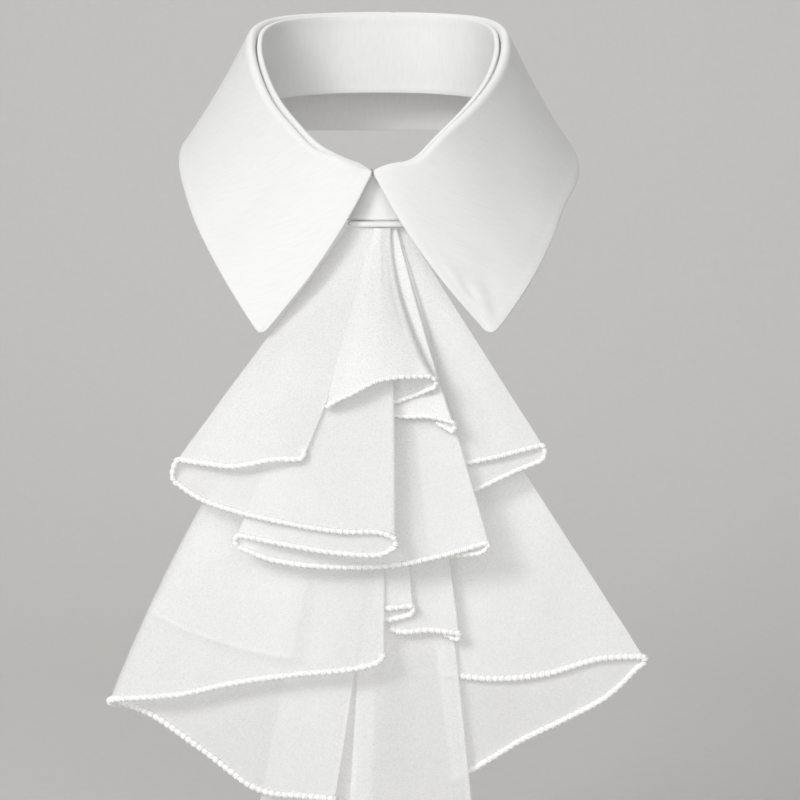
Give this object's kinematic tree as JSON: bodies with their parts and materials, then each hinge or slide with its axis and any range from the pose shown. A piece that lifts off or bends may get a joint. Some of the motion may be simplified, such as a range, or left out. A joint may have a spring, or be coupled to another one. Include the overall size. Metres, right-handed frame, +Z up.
{
  "type": "detachable collar with jabot",
  "caption": "Pointed turn-down collar on a buttonless stand, closed at the throat by a hook and eye, with a pleated chiffon jabot hanging in tiers from a band at the front.",
  "frame": {"origin": "The middle of the neck opening, level with the top of the closure at the throat.", "axes": "X to the viewer's right, Y towards the back so that the front faces -Y, Z up along the neck."},
  "size_m": [0.2262, 0.1984, 0.3378],
  "materials": {
    "poplin": "smooth white poplin, pressed",
    "chiffon": "sheer white chiffon with a faint grain and overlocked hems",
    "wire": "nickel-plated wire"
  },
  "bodies": {
    "root": {"collar_stand": "poplin", "collar_fall": "poplin", "hook": "wire", "eye": "wire", "jabot_band": "poplin", "left_cascade": "chiffon", "front_pleat": "chiffon", "right_flare": "chiffon", "long_tail": "chiffon", "lower_left_ruffle": "chiffon", "lower_right_ruffle": "chiffon", "short_pleat": "chiffon", "middle_pleat": "chiffon", "left_underlay": "chiffon", "back_tail": "chiffon"}
  },
  "joints": []
}
